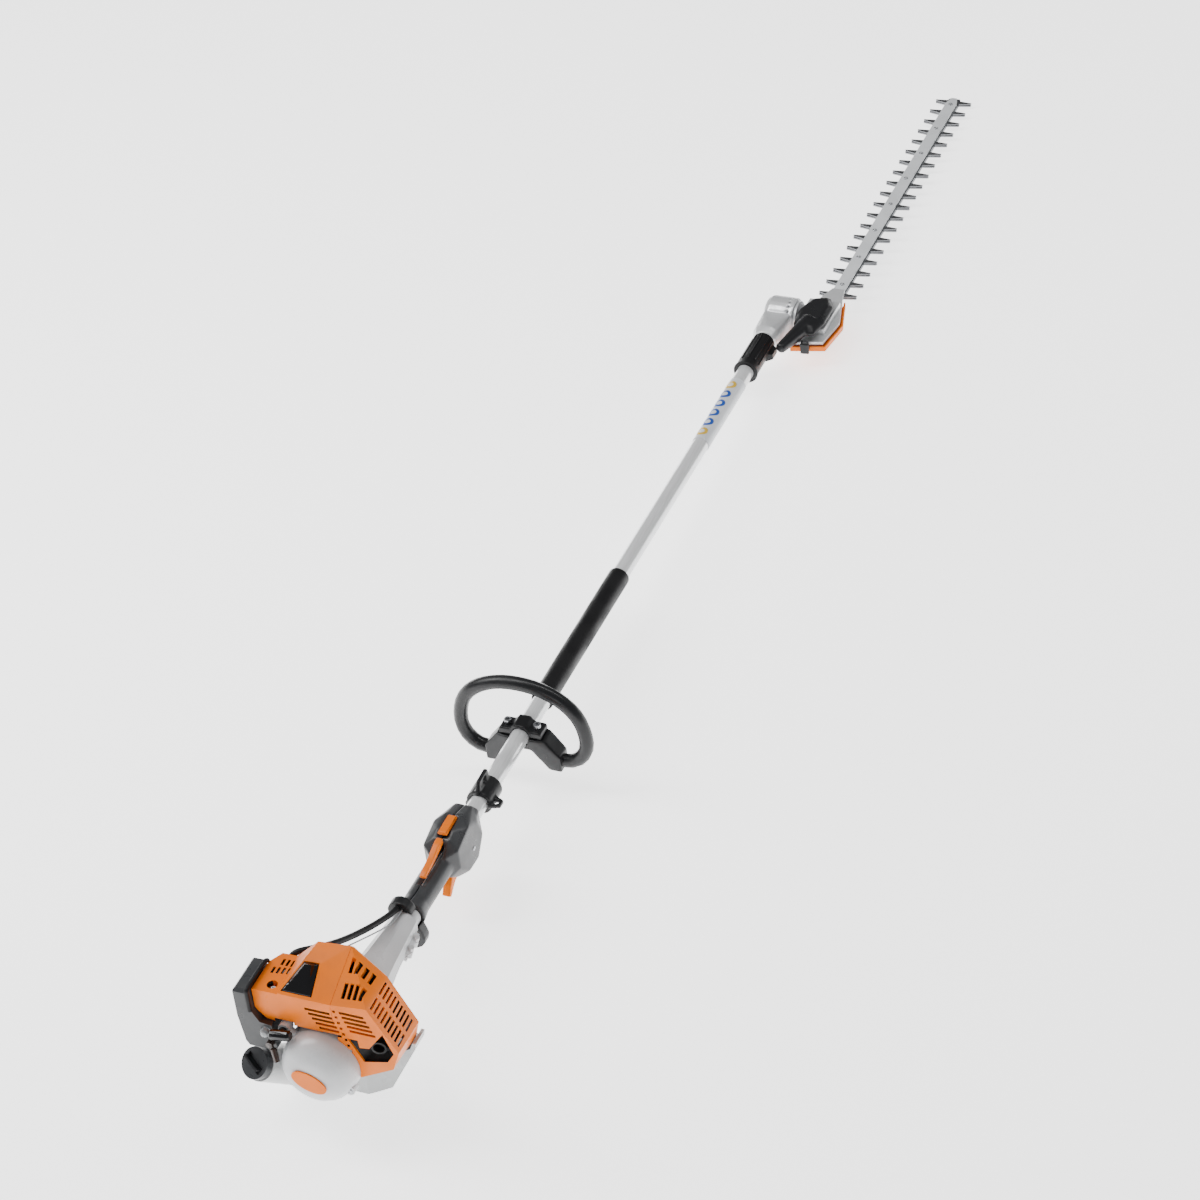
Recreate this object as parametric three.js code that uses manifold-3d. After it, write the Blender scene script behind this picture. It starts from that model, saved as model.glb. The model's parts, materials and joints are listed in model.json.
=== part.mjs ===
// Petrol pole hedge trimmer, built as the separate pieces that come apart on a bench.
// Machine frame while building, in millimetres: +X right side, +Y along the pole from
// engine to blade, +Z up. The crankshaft, drive shaft and pole share the Y axis, and y = 0
// is the rear face of the starter cover. The whole machine is then laid on the floor,
// nose down on its fuel tank and cutter head, with +Z up and the origin under its middle.
import * as THREE from 'three';
import { mergeVertices } from 'three/addons/utils/BufferGeometryUtils.js';
import { ConvexGeometry } from 'three/addons/geometries/ConvexGeometry.js';
import Module from 'manifold-3d';

const wasm = await Module();
wasm.setup();

// ---- driving dimensions -------------------------------------------------------------
const GAP = 0.3;                 // clearance kept between touching pieces
const TUBE_R = 12.7;             // 25.4 mm pole tube
const TUBE_BORE = 11.2;
const FIT_R = TUBE_R + GAP;      // bore of every clamp on the pole
const TUBE_START = 264;          // tube end inside the clutch housing
const TUBE_END = 1672;           // tube end inside the gear housing
const FLOOR_REAR = { y: 84, z: -105 };   // rear edge of the tank's flat underside
const FLOOR_NOSE = { y: 1765, z: -42 };  // front edge of the cutter head's underside
const LAY_ANGLE = Math.atan2(FLOOR_NOSE.z - FLOOR_REAR.z, FLOOR_NOSE.y - FLOOR_REAR.y);
const COVER = { z: -8, r: 50 };  // starter cover centre height and radius
const HOOD_REAR = 38;            // rear face of the orange hood
const HOOD_FRONT = 106;
const WALL = 2.6;                // moulded shell thickness
const CYL_Y = 80;                // cylinder axis along the pole
const THROW = 13;                // crank throw, half the stroke
const HANDLE_Y = 675;            // plane of the loop handle
const PIVOT_Y = 1722;            // head tilt axis
const BLADE_X = 64;              // centre line of the cutter bar
const TOOTH_PITCH = 34;
const TEETH = 19;
const FIRST_TOOTH = 1806;
const CAP_AXIS = new THREE.Vector3(-0.25, -0.72, 0.648).normalize();
const CAP_SEAT = new THREE.Vector3(-88, 27, -27);

// ---- materials ------------------------------------------------------------------------
const finish = (color, roughness, metalness = 0) => ({ color, roughness, metalness });
const ORANGE = finish(0xf26a12, 0.45);
const LIGHT_GREY = finish(0xd4d6d4, 0.5);
const TANK_WHITE = finish(0xd9dcd8, 0.35);
const BLACK = finish(0x26282a, 0.5);
const DARK_GREY = finish(0x4a4c4e, 0.5);
const RUBBER = finish(0x1d1e20, 0.85);
const CAST = finish(0xb9bbbd, 0.45, 0.7);
const STEEL = finish(0x8f9295, 0.35, 1);
const TUBE_METAL = finish(0xc9cccf, 0.3, 1);
const PALE = finish(0xe6e7e6, 0.5);
const BRASS = finish(0xb58f4a, 0.4, 1);
const PAPER = finish(0xb89f6a, 0.9);

// ---- building helpers -------------------------------------------------------------------
// Turns a closed three.js geometry into a solid that can be joined and cut.
function solid(geometry) {
  let g = geometry.clone();
  g.deleteAttribute('normal');
  g.deleteAttribute('uv');
  g = mergeVertices(g, 1e-4);
  const p = g.attributes.position.array;
  const index = g.index.array;
  const tri = [];
  let volume = 0;
  const at = (i) => new THREE.Vector3(p[3 * i], p[3 * i + 1], p[3 * i + 2]);
  for (let i = 0; i < index.length; i += 3) {
    const [a, b, c] = [index[i], index[i + 1], index[i + 2]];
    if (a === b || b === c || a === c) continue;
    tri.push(a, b, c);
    volume += at(a).dot(at(b).cross(at(c)));
  }
  if (volume < 0) tri.reverse();
  return new wasm.Manifold(new wasm.Mesh({
    numProp: 3, vertProperties: new Float32Array(p), triVerts: new Uint32Array(tri),
  }));
}

const vec = (p) => new THREE.Vector3(p[0], p[1], p[2]);
const join = (...parts) => parts.reduce((a, b) => a.add(b));
const cut = (body, ...tools) => tools.reduce((a, b) => a.subtract(b), body);

function box(x0, x1, y0, y1, z0, z1) {
  const g = new THREE.BoxGeometry(x1 - x0, y1 - y0, z1 - z0);
  return solid(g.translate((x0 + x1) / 2, (y0 + y1) / 2, (z0 + z1) / 2));
}

// Cylinder or cone between two points.
function rod(from, to, r0, r1 = r0, sides = 18) {
  const a = vec(from);
  const b = vec(to);
  const g = new THREE.CylinderGeometry(r1, r0, a.distanceTo(b), sides);
  const turn = new THREE.Quaternion().setFromUnitVectors(
    new THREE.Vector3(0, 1, 0), b.clone().sub(a).normalize());
  const middle = a.clone().add(b).multiplyScalar(0.5);
  return solid(g.applyMatrix4(new THREE.Matrix4().compose(middle, turn, vec([1, 1, 1]))));
}

const rodY = (r, y0, y1, sides = 18, x = 0, z = 0) => rod([x, y0, z], [x, y1, z], r, r, sides);
const ringY = (outer, inner, y0, y1, sides = 24) =>
  cut(rodY(outer, y0, y1, sides), rodY(inner, y0 - 1, y1 + 1, sides));

function outline(points) {
  return new THREE.Shape(points.map(([u, v]) => new THREE.Vector2(u, v)));
}

// Prism of a flat outline: along Y from (x, z), along X from (y, z), along Z from (x, y).
function prism(points, axis, from, to) {
  const g = new THREE.ExtrudeGeometry(outline(points), { depth: to - from, bevelEnabled: false });
  const basis = new THREE.Matrix4();
  const [ex, ey, ez] = [vec([1, 0, 0]), vec([0, 1, 0]), vec([0, 0, 1])];
  if (axis === 'y') basis.makeBasis(ex, ez, ey.negate()).setPosition(0, to, 0);
  if (axis === 'x') basis.makeBasis(ey, ez, ex).setPosition(from, 0, 0);
  if (axis === 'z') basis.setPosition(0, 0, from);
  return solid(g.applyMatrix4(basis));
}

const hull = (points) => solid(new ConvexGeometry(points.map(vec)));
const lathe = (profile, sides) =>
  solid(new THREE.LatheGeometry(profile.map(([r, y]) => new THREE.Vector2(r, y)), sides));

// Round tube along a smooth curve through points.
function bentTube(points, radius, sides, steps) {
  const circle = new THREE.Shape();
  circle.absarc(0, 0, radius, 0, 2 * Math.PI);
  const path = new THREE.CatmullRomCurve3(points.map(vec), false, 'centripetal');
  return solid(new THREE.ExtrudeGeometry(circle, {
    steps, extrudePath: path, curveSegments: sides / 2, bevelEnabled: false,
  }));
}

const machine = new THREE.Group();

function piece(name, body, material) {
  const data = body.getMesh();
  const g = new THREE.BufferGeometry();
  g.setAttribute('position', new THREE.BufferAttribute(new Float32Array(data.vertProperties), 3));
  g.setIndex(Array.from(data.triVerts));
  g.computeVertexNormals();
  const mesh = new THREE.Mesh(g, new THREE.MeshStandardMaterial(material));
  mesh.name = name;
  machine.add(mesh);
}

// ---- crankcase, crankshaft, cylinder -----------------------------------------------------
const CASE = { y0: 60, y1: 101, half: 34, top: 38, bottom: -36 };
const WEB_R = 22;

function crankcase() {
  const body = join(
    box(-CASE.half, CASE.half, CASE.y0, CASE.y1, CASE.bottom, CASE.top),
    rodY(42, 107, 116.6, 32), rodY(30, 100, 108, 24));
  const chamber = join(rodY(26, 69, 91, 24), rod([0, CYL_Y, 0], [0, CYL_Y, 40], 17.4));
  const bores = join(rodY(16.3, 59, 70, 24), rodY(16.3, 90, 118, 24));
  piece('crankcase', cut(body, chamber, bores), CAST);
}

function bearings() {
  piece('bearing_rear', ringY(16, 8.1, 61, 67, 20), STEEL);
  piece('bearing_front', ringY(16, 8.1, 93, 99, 20), STEEL);
}

function crankshaft() {
  const web = (y0, y1) => join(
    prism([[-WEB_R, -2], [WEB_R, -2], [9, THROW + 7], [-9, THROW + 7]], 'y', y0, y1),
    cut(rodY(WEB_R, y0, y1, 20), box(-30, 30, 60, 120, 0, 30)));
  const rear = join(rodY(7.7, 24, 71, 16), web(70, 77), rodY(5, 76, 77.7, 12, 0, THROW));
  piece('crank_half_rear', rear, STEEL);
  const front = join(rodY(7.7, 89, 130, 16), web(83, 90), rodY(5, 82.3, 84, 12, 0, THROW));
  piece('crank_half_front', front, STEEL);
}

function pistonAndRod() {
  const crown = 70 + THROW;
  const skirt = cut(rod([0, CYL_Y, crown - 24], [0, CYL_Y, crown], 16.7, 16.7, 16),
    rod([0, CYL_Y, crown - 25], [0, CYL_Y, crown - 4], 14));
  piece('piston', skirt, CAST);
  const eyeZ = crown - 12;
  const link = join(rod([0, 78, THROW], [0, 82, THROW], 9, 9, 16),
    box(-3, 3, 78, 82, THROW, eyeZ), rod([0, 78, eyeZ], [0, 82, eyeZ], 6, 6, 16));
  piece('piston_rod', cut(link, rod([0, 77, THROW], [0, 83, THROW], 6, 6, 12)), STEEL);
}

function cylinder() {
  const base = CASE.top + GAP;
  const parts = [rod([0, CYL_Y, base], [0, CYL_Y, 98], 21.5, 21.5, 12), box(-28, 28, 61, 99, base, base + 5)];
  for (let z = 52; z < 98; z += 10) parts.push(box(-31, 31, CYL_Y - 22.5, CYL_Y + 22.5, z, z + 2.4));
  parts.push(box(18, 33, 69, 91, 56, 78), box(-31, -18, 68, 92, 56, 80));
  const bore = rod([0, CYL_Y, base - 1], [0, CYL_Y, 90], 17.3, 17.3, 16);
  const ports = join(rod([15, CYL_Y, 67], [40, CYL_Y, 67], 7, 7, 12),
    rod([-15, CYL_Y, 68], [-40, CYL_Y, 68], 6, 6, 12));
  const plugHole = rod([0, CYL_Y, 88], [0, CYL_Y, 99], 6.4, 6.4, 12);
  piece('cylinder', cut(join(...parts), bore, ports, plugHole), CAST);
}

function sparkPlug() {
  const body = join(rod([0, CYL_Y, 88.5], [0, CYL_Y, 98.3], 6, 6, 12),
    rod([0, CYL_Y, 98.3], [0, CYL_Y, 102], 9, 9, 6), rod([0, CYL_Y, 101], [0, CYL_Y, 108], 4.5, 4.5, 12));
  piece('spark_plug', body, PALE);
}

// ---- flywheel, starter -------------------------------------------------------------------
function flywheel() {
  const parts = [rodY(36, 49, 54, 32), rodY(13, 44, 58, 16)];
  const blades = 8;
  for (let i = 0; i < blades; i += 1) {
    const fin = box(14, 36, 41, 50, -1.2, 1.2);
    parts.push(fin.rotate([0, (360 * i) / blades, 0]));
  }
  piece('flywheel', cut(join(...parts), rodY(8, 40, 60, 16)), CAST);
}

const ROPE = { x: -43, z: 40, y: 30, stroke: 55 };

function starterCover() {
  const { r } = COVER;
  const dome = lathe([[0, 0], [17, 0], [28, 2], [39, 8], [46, 16], [r, 28], [r, 58],
    [r - WALL, 58], [r - WALL, 29], [43.5, 18.5], [37, 11], [27, 5], [16, 3], [0, 3]], 26)
    .translate([0, 0, COVER.z]);
  const lug = (x, z, y0) => join(rodY(8, y0, y0 + 12, 12, x, z), rod([x, y0 + 6, z],
    [x * 0.7, y0 + 6, COVER.z + (z - COVER.z) * 0.7], 6, 6, 12));
  const inside = lathe([[0, 3], [16, 3], [27, 5], [37, 11], [43.5, 18.5], [r - WALL, 29],
    [r - WALL, 90], [0, 90]], 26).translate([0, 0, COVER.z]);
  const lugs = cut(join(lug(40, -30, 20), lug(-38, -44, 24), lug(ROPE.x, ROPE.z, 31)), inside);
  const notch = box(-14, -6, 14, 17, 22, 33);
  let body = cut(join(dome, lugs), notch, rodY(2.6, 28, 45, 10, ROPE.x, ROPE.z));
  for (let a = 160; a <= 200; a += 20) {
    const vent = box(34, 60, 20, 30, -2, 2).rotate([0, a, 0]).translate([0, 0, COVER.z]);
    body = cut(body, vent);
  }
  piece('starter_cover', body, LIGHT_GREY);
  const badge = new THREE.CylinderGeometry(1, 1, 2, 32);
  badge.scale(24, 1, 14.5).rotateY(THREE.MathUtils.degToRad(22)).translate(-1, -1.3, -8);
  piece('starter_badge', solid(badge), ORANGE);
}

function starterPulley() {
  const wheel = cut(join(rodY(28, 27, 29, 24), rodY(24, 28.5, 34, 24), rodY(28, 33.5, 35.5, 24)),
    rodY(8.1, 20, 40, 16));
  piece('starter_pulley', wheel, BLACK);
}

function starterGrip() {
  const { x, y, z } = ROPE;
  const bar = rod([x - 12, y - 9, z - 2], [x + 12, y - 9, z + 2], 7, 7, 12);
  const ends = join(rod([x - 14.5, y - 9, z - 2.4], [x - 12, y - 9, z - 2], 5, 7, 12),
    rod([x + 12, y - 9, z + 2], [x + 14.5, y - 9, z + 2.4], 7, 5, 12));
  const stem = rod([x, y - 6, z], [x, y + 0.6, z], 6, 5, 12);
  const rope = rodY(1.9, y, y + ROPE.stroke + 8, 8, x, z);
  piece('starter_grip', join(bar, ends, stem, rope), BLACK);
}

// ---- orange hood and muffler guard ----------------------------------------------------------
// Top panel of the hood: rises towards the front.
const panelZ = (y) => 95 + (y - 40) * 0.62;

// Corner points of the three lumps that make the hood, grown or shrunk by a wall.
function hoodSolid(inset) {
  const rear = HOOD_REAR + inset;
  const front = HOOD_FRONT - inset;
  const i = inset;
  const low = inset > 0 ? 12 : 0;
  const left = inset > 0 ? 8 : 0;   // the lumps run into each other inside
  const deck = hull([[-82 + i, rear, 92 - i], [24 + i, rear, 93 - i], [-82 + i, 88, 92 - i],
    [-72 + i, front, 92 - i], [24 + i, front, 93 - i],
    [-82 + i, rear, 60 - low], [-66, rear, 44 - low], [24 + i, rear, 44 - low],
    [-82 + i, 88, 44 - low], [-72 + i, front, 44 - low], [24 + i, front, 44 - low]]);
  const hump = hull([[-47 + i, rear, panelZ(HOOD_REAR) - i], [22, rear, panelZ(HOOD_REAR) - i],
    [-15, front - 5, 131.5 - 1.3 * i], [31, front - 5, 136 - 1.3 * i], [-15, front, 126 - 1.3 * i],
    [31, front, 130 - 1.3 * i], [-54 + i, front, 90], [31, front, 90],
    [-47 + i, rear, 90 - 2 * i], [31, rear, 90 - 2 * i]]);
  const side = hull([[22 - left, rear, panelZ(HOOD_REAR) - i], [73 - 0.6 * i, rear, 100 - i],
    [108 - i, rear, 35], [97 - i, rear, 5 - low], [40, rear, -28 - low], [22 - left, rear, -28 - low],
    [31 - left, front - 5, 136 - 1.3 * i], [73 - 0.6 * i, front - 5, 96 - i], [106 - i, front - 5, 29],
    [98 - i, front - 5, 0 - low], [31 - left, front, 130 - 1.3 * i], [69 - i, front, 92 - i],
    [100 - i, front, 28], [93 - i, front, 0 - low], [40, front, -28 - low], [22 - left, front, -28 - low]]);
  return join(deck, hump, side);
}

function hoodSlots() {
  const slots = [];
  const slotLength = 21;
  const rows = [45, 72];
  for (const y of rows) {
    // top of the muffler side: four slots in each row
    for (let n = 0; n < 4; n += 1) {
      const x = 36.5 + 7.8 * n;
      slots.push(box(x, x + 5, y + 1, y + slotLength - 3, 86, 134));
    }
    // right flank: a ladder of slots down the slope
    for (let n = 0; n < 9; n += 1) {
      const x = 74.5 + 3.6 * n;
      const z = 93.5 - 6.7 * n;
      slots.push(box(-9, 9, y, y + slotLength, -1.7, 1.7).rotate([0, -28, 0])
        .translate([x, 0, z]));
    }
  }
  // rear face: two groups of level slots with a leaning column of squares between them
  for (let n = 0; n < 6; n += 1) slots.push(box(-12 + 4 * n, 22 + 2.2 * n, 30, 46, 76 - 7 * n, 79.9 - 7 * n));
  for (let n = 0; n < 5; n += 1) slots.push(box(35 + 2.6 * n, 68 + 3 * n, 30, 46, 82 - 7 * n, 86 - 7 * n));
  for (let n = 0; n < 10; n += 1) slots.push(box(26 + 2 * n, 30 + 2 * n, 30, 46, 82 - 9 * n, 86 - 9 * n));
  // cooling slots on the deck beside the air filter
  for (let n = 0; n < 5; n += 1) {
    slots.push(box(-72 + 6.6 * n, -68.6 + 6.6 * n, 70 + n, 81 + n, 86, 96));
    slots.push(box(-66 + 6.6 * n, -62.6 + 6.6 * n, 86, 97, 86, 96));
  }
  return slots;
}

const BOOT = { near: [-43, -2], far: [-24, -4], y0: 42, y1: 77 };

function bootPrism(grow, up, down) {
  const { near, far, y0, y1 } = BOOT;
  const points = [];
  for (const dz of [up, -down]) {
    points.push([near[0] - grow, y0 - grow, panelZ(y0 - grow) + dz], [near[1] + grow, y0 - grow,
      panelZ(y0 - grow) + dz]);
    points.push([far[0] - grow, y1 + grow, panelZ(y1 + grow) + dz], [far[1] + grow, y1 + grow,
      panelZ(y1 + grow) + dz]);
  }
  return hull(points);
}

function hoodAndGuard() {
  const mouth = prism([[40, 42], [54, 42], [55, 30], [68, 32], [90, 62], [101, 32], [91, 16], [58, 7]],
    'y', 30, 48);
  const starterHole = rodY(COVER.r + 0.6, 20, 60, 40, 0, COVER.z);
  const clutchHole = rodY(46.6, 90, 120, 32);
  const underside = box(-120, 27, 20, 120, -90, 44);
  const gripRoom = box(-57, -31, 20, HOOD_REAR + 7, 20, 49.5);
  const intake = rod([-90, CYL_Y, 68], [-70, CYL_Y, 68], 8, 8, 16);
  const filterRoom = join(filterBody(0), filterBody(0).translate([0.6, 0, 0.6]));
  const screwWell = rod([-60, 52, 84], [-60, 52, 98], 7, 7, 16);
  const well = cut(rod([-60, 52, 82], [-60, 52, 91], 9, 9, 16), rod([-60, 52, 84], [-60, 52, 98], 7, 7, 16));
  let shell = cut(hoodSolid(0), hoodSolid(WALL), underside, gripRoom, screwWell);
  shell = cut(join(shell, well), mouth, starterHole, clutchHole,
    intake, filterRoom, bootPrism(0.5, 8, 14), ...hoodSlots());
  const seam = (offset) => hull([[23 + offset, 20, -60], [33 + offset, 120, -60], [23 + offset, 20, 160],
    [33 + offset, 120, 160], [200, 20, -60], [200, 120, -60], [200, 20, 160], [200, 120, 160]]);
  piece('engine_hood', cut(shell, seam(-0.25)), ORANGE);
  piece('muffler_guard', shell.intersect(seam(0.25)), ORANGE);
}

function sparkPlugBoot() {
  const { y0, y1 } = BOOT;
  const ridge = hull([[-38, y0 + 3, panelZ(y0) + 2], [-8, y0 + 3, panelZ(y0) + 2],
    [-30, y0 + 12, panelZ(y0) + 14], [-16, y0 + 12, panelZ(y0) + 14],
    [-19, y1 - 9, panelZ(y1) + 6], [-11, y1 - 9, panelZ(y1) + 6],
    [-22, y1 - 1, panelZ(y1 - 1)], [-7, y1 - 1, panelZ(y1 - 1)]]);
  const neck = hull([[-24, 56, 98.6], [-6, 56, 98.6], [-24, 60, 103], [-4, 60, 103],
    [-6, 82, 102], [6, 82, 102], [-6, 82, 112], [6, 82, 112]]);
  const arm = join(neck, rod([0, CYL_Y, 102.4], [0, CYL_Y, 111], 10, 8, 16));
  const socket = join(rod([0, CYL_Y, 100], [0, CYL_Y, 108.4], 4.9, 4.9, 12),
    rod([0, CYL_Y, 97], [0, CYL_Y, 102.4], 10.2, 10.2, 16));
  piece('spark_plug_boot', cut(join(bootPrism(-0.2, 1.2, 7), ridge, arm), socket), BLACK);
}

// ---- muffler, carburettor, air filter ----------------------------------------------------------
function muffler() {
  const can = hull([[38, 61, 8], [84, 61, 8], [95, 61, 34], [66, 61, 86], [38, 61, 86],
    [38, 96, 8], [84, 96, 8], [94, 96, 34], [66, 96, 84], [38, 96, 84]]);
  const flange = box(33.4, 39, 69, 91, 56, 78);
  const outlet = cut(rod([74, 62, 30], [78, 44, 30], 10, 10, 16),
    rod([73, 66, 30], [79, 40, 30], 7.5, 7.5, 16));
  const port = rod([30, CYL_Y, 67], [50, CYL_Y, 67], 7, 7, 12);
  const inside = hull([[40, 63, 10], [83, 63, 10], [92, 63, 34], [65, 63, 84], [40, 63, 84],
    [40, 94, 10], [83, 94, 10], [91, 94, 34], [65, 94, 82], [40, 94, 82]]);
  piece('muffler', cut(join(can, flange, outlet), inside, port,
    rod([73, 66, 30], [76, 53, 30], 7.5, 7.5, 16)), STEEL);
}

function carburettor() {
  const manifold = cut(join(rod([-53.7, CYL_Y, 68], [-31.4, CYL_Y, 68], 12, 12, 16),
    box(-36, -31.4, 69, 91, 57, 79), box(-53.7, -50, 69, 91, 56, 80)),
  rod([-60, CYL_Y, 68], [-30, CYL_Y, 68], 6, 6, 12));
  piece('intake_manifold', manifold, BLACK);
  const body = cut(join(box(-76, -54, 69, 91, 56, 80), box(-70, -58, 71, 89, 50, 57)),
    rod([-80, CYL_Y, 68], [-50, CYL_Y, 68], 6.5, 6.5, 12));
  piece('carburettor', body, CAST);
}

const FILTER = { y0: 29, y1: 86 };

function filterBody(grow) {
  return prism([[-104, 92], [-101, 95], [-84, 95.5], [-83, 62], [-74, 46], [-58, 44], [-56, 6],
    [-64, 1], [-95, 1], [-99, 8], [-104, 50]], 'y', FILTER.y0 - grow, FILTER.y1 + grow);
}

function airFilter() {
  const outer = filterBody(0);
  const slope = prism([[20, 80], [34, 96.5], [34, 110], [20, 110]], 'x', -130, -60);
  const inside = join(box(-101, -86.6, 32, 83, 48, 90), box(-98, -60, 32, 83, 6, 38),
    box(-98, -86, 32, 83, 20, 60));
  const bulbSeat = rodY(7.3, 24, 40, 16, -67, 33);
  piece('air_filter_cover', cut(outer, slope, inside, bulbSeat), DARK_GREY);
  const element = [];
  for (let n = 0; n < 8; n += 1) element.push([-99 + (n % 2) * 2, 36 + 6 * n]);
  piece('air_filter_element', prism([...element, [-87, 78], [-87, 36]], 'z', 50, 88), PAPER);
  const bulb = join(rodY(7, FILTER.y0 - 1, FILTER.y0 + 3, 16, -67, 33),
    lathe([[0, -9], [4.2, -7.6], [6.6, -4], [7, 0], [0, 0]], 16).translate([-67, FILTER.y0, 33]));
  piece('primer_bulb', bulb, finish(0xdfe6e6, 0.1));
}

// Choke lever: a small peg on a disc behind the air filter cover.
function chokeLever() {
  const lever = join(rodY(5, 21, FILTER.y0 - GAP, 14, -62, 16),
    hull([[-64, 21, 19], [-60, 21, 19], [-64, 25, 13], [-64, 21, 13], [-60, 25, 19],
      [-54, 17, 8], [-54, 21, 4], [-51, 19, 10]]),
    rod([-56, 20, 14], [-50.5, 14, -1], 4.4, 3.8, 12));
  piece('choke_lever', lever, finish(0x4a342c, 0.4));
}

// ---- fuel tank and cap --------------------------------------------------------------------
const alongCap = (t) => CAP_SEAT.clone().addScaledVector(CAP_AXIS, t).toArray();

function floorCut() {
  const block = box(-400, 400, -600, 3000, -300, 0);
  const lean = THREE.MathUtils.radToDeg(LAY_ANGLE);
  return block.rotate([lean, 0, 0]).translate([0, FLOOR_REAR.y, FLOOR_REAR.z]);
}

function fuelTank() {
  const cradle = (i) => prism([[-60 + i, -112], [47 - i, -112], [104 - i, -4], [106 - i, 6],
    [101.5, 6 - i / 2], [97, -5 - i], [44, -35 - i], [36, -42 - i], [-44, -42 - i],
    [-64 + i, -50 - i], [-68 + i, -86]],
  'y', FLOOR_REAR.y + i, 150 - i);
  const corner = prism([[8, 70], [160, 70], [160, 122], [62, 112], [40, 94]], 'z', -120, -44);
  const barrel = rod(alongCap(-4), alongCap(-84), 23, 28, 24);
  const shoulder = hull([[-72, 84, -96], [-72, 128, -92], [-92, 84, -86], [-90, 128, -80],
    [-70, 84, -54], [-70, 128, -54], [-86, 90, -58], [-86, 126, -58]]);
  const bellRoom = rodY(47.4, 100, 160, 24);
  const wingEnd = prism([[70, 132], [96, 112], [140, 108], [140, 180], [70, 180]], 'z', -75, 40);
  const outer = cut(join(cradle(0), barrel, shoulder), corner, wingEnd, bellRoom, floorCut());
  const neck = join(rod(alongCap(0), alongCap(-80), 15.4, 15.4, 16),
    rod(alongCap(-10), alongCap(-70), 19, 21, 16));
  const cavity = cut(cradle(3.2), corner.translate([-4, 3, 0]), floorCut().translate([0, 0, 3]),
    rodY(50.5, 90, 160, 24), box(40, 120, 70, 160, -50, 20), wingEnd.translate([-5, -4, -4]));
  piece('fuel_tank', cut(outer, cavity, neck), TANK_WHITE);
}

function fuelCap() {
  const body = join(rod(alongCap(-3.6), alongCap(7), 21.5, 20.5, 32),
    rod(alongCap(-16), alongCap(-3), 14.9, 14.9, 16));
  const slot = hull(capBlock(-15, 15, -6.4, 6.4, 3, 12));
  piece('fuel_cap', cut(body, slot), DARK_GREY);
  piece('fuel_cap_tab', hull(capBlock(-14.2, 14.2, -1.7, 1.7, 3.4, 15)), BLACK);
}

// Corners of a block set on the cap: across the tab, beside it and out along the cap axis.
function capBlock(u0, u1, v0, v1, t0, t1) {
  const across = new THREE.Vector3(1, 0, -0.72).addScaledVector(CAP_AXIS,
    -new THREE.Vector3(1, 0, -0.72).dot(CAP_AXIS)).normalize();
  const beside = CAP_AXIS.clone().cross(across);
  const corners = [];
  for (const u of [u0, u1]) {
    for (const v of [v0, v1]) {
      for (const t of [t0, t1]) {
        corners.push(vec(alongCap(t)).addScaledVector(across, u).addScaledVector(beside, v).toArray());
      }
    }
  }
  return corners;
}

// ---- clutch and drive shaft ----------------------------------------------------------------
function clutch() {
  const shoes = cut(rodY(33, 120, 130, 24), rodY(8, 119, 131, 16),
    box(-40, 40, 119, 131, -2, 2), box(-2, 2, 119, 131, 12, 40), box(-2, 2, 119, 131, -40, -12));
  const hub = cut(rodY(12, 119, 131, 16), rodY(8, 118, 132, 16));
  piece('clutch_shoes', join(shoes, hub), STEEL);
  const drum = cut(join(rodY(37.5, 118, 137, 24), rodY(9, 136, 152, 16)),
    rodY(34.8, 117, 133.5, 24), rodY(4.3, 130, 153, 12));
  piece('clutch_drum', drum, STEEL);
}

function clutchHousing() {
  const bell = lathe([[0, 117], [46, 117], [46, 128], [34, 152], [0, 152]], 24);
  const cone = join(rod([0, 148, 0], [0, 204, 0], 33.5, 26, 8), rod([0, 204, 0], [0, 284, 0], 26, 19, 8))
    .rotate([0, 22.5, 0]);
  const neck = rodY(16.2, 282, 298, 20);
  const lug = join(hull([[8, 236, -14], [21, 236, -19], [25, 236, -8], [14, 236, 4],
    [8, 276, -13], [18, 276, -18], [23, 276, -8], [14, 276, 4]]),
  rod([20, 247, -20], [26, 247, -2], 3.6, 3.6, 10), rod([19, 266, -19], [25, 266, -2], 3.6, 3.6, 10));
  const inside = join(rodY(40, 110, 138, 24), rod([0, 137, 0], [0, 160, 0], 36, 14),
    rodY(10.5, 150, 270), rodY(FIT_R, TUBE_START - 0.5, 300));
  const slit = box(10, 40, 205, 300, -10.2, -8.8);
  piece('clutch_housing', cut(join(bell, cone, neck, lug), inside, slit), LIGHT_GREY);
}

function driveShaft() {
  const shaft = join(rodY(4, 134.5, 1692, 12), rod([0, 1684, 0], [0, 1702, 0], 9, 5.6, 12));
  piece('drive_shaft', shaft, STEEL);
  piece('shaft_bush', ringY(TUBE_BORE - GAP, 4.4, 900, 930, 16), BRASS);
}

// ---- pole and what is clamped on it --------------------------------------------------------
function pole() {
  piece('pole_tube', ringY(TUBE_R, TUBE_BORE, TUBE_START, TUBE_END, 32), TUBE_METAL);
  piece('grip_sleeve', ringY(15.6, FIT_R, 740, 1027, 24), RUBBER);
  piece('tube_label', ringY(13.5, FIT_R, 1359, 1520, 24), PALE);
}

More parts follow.
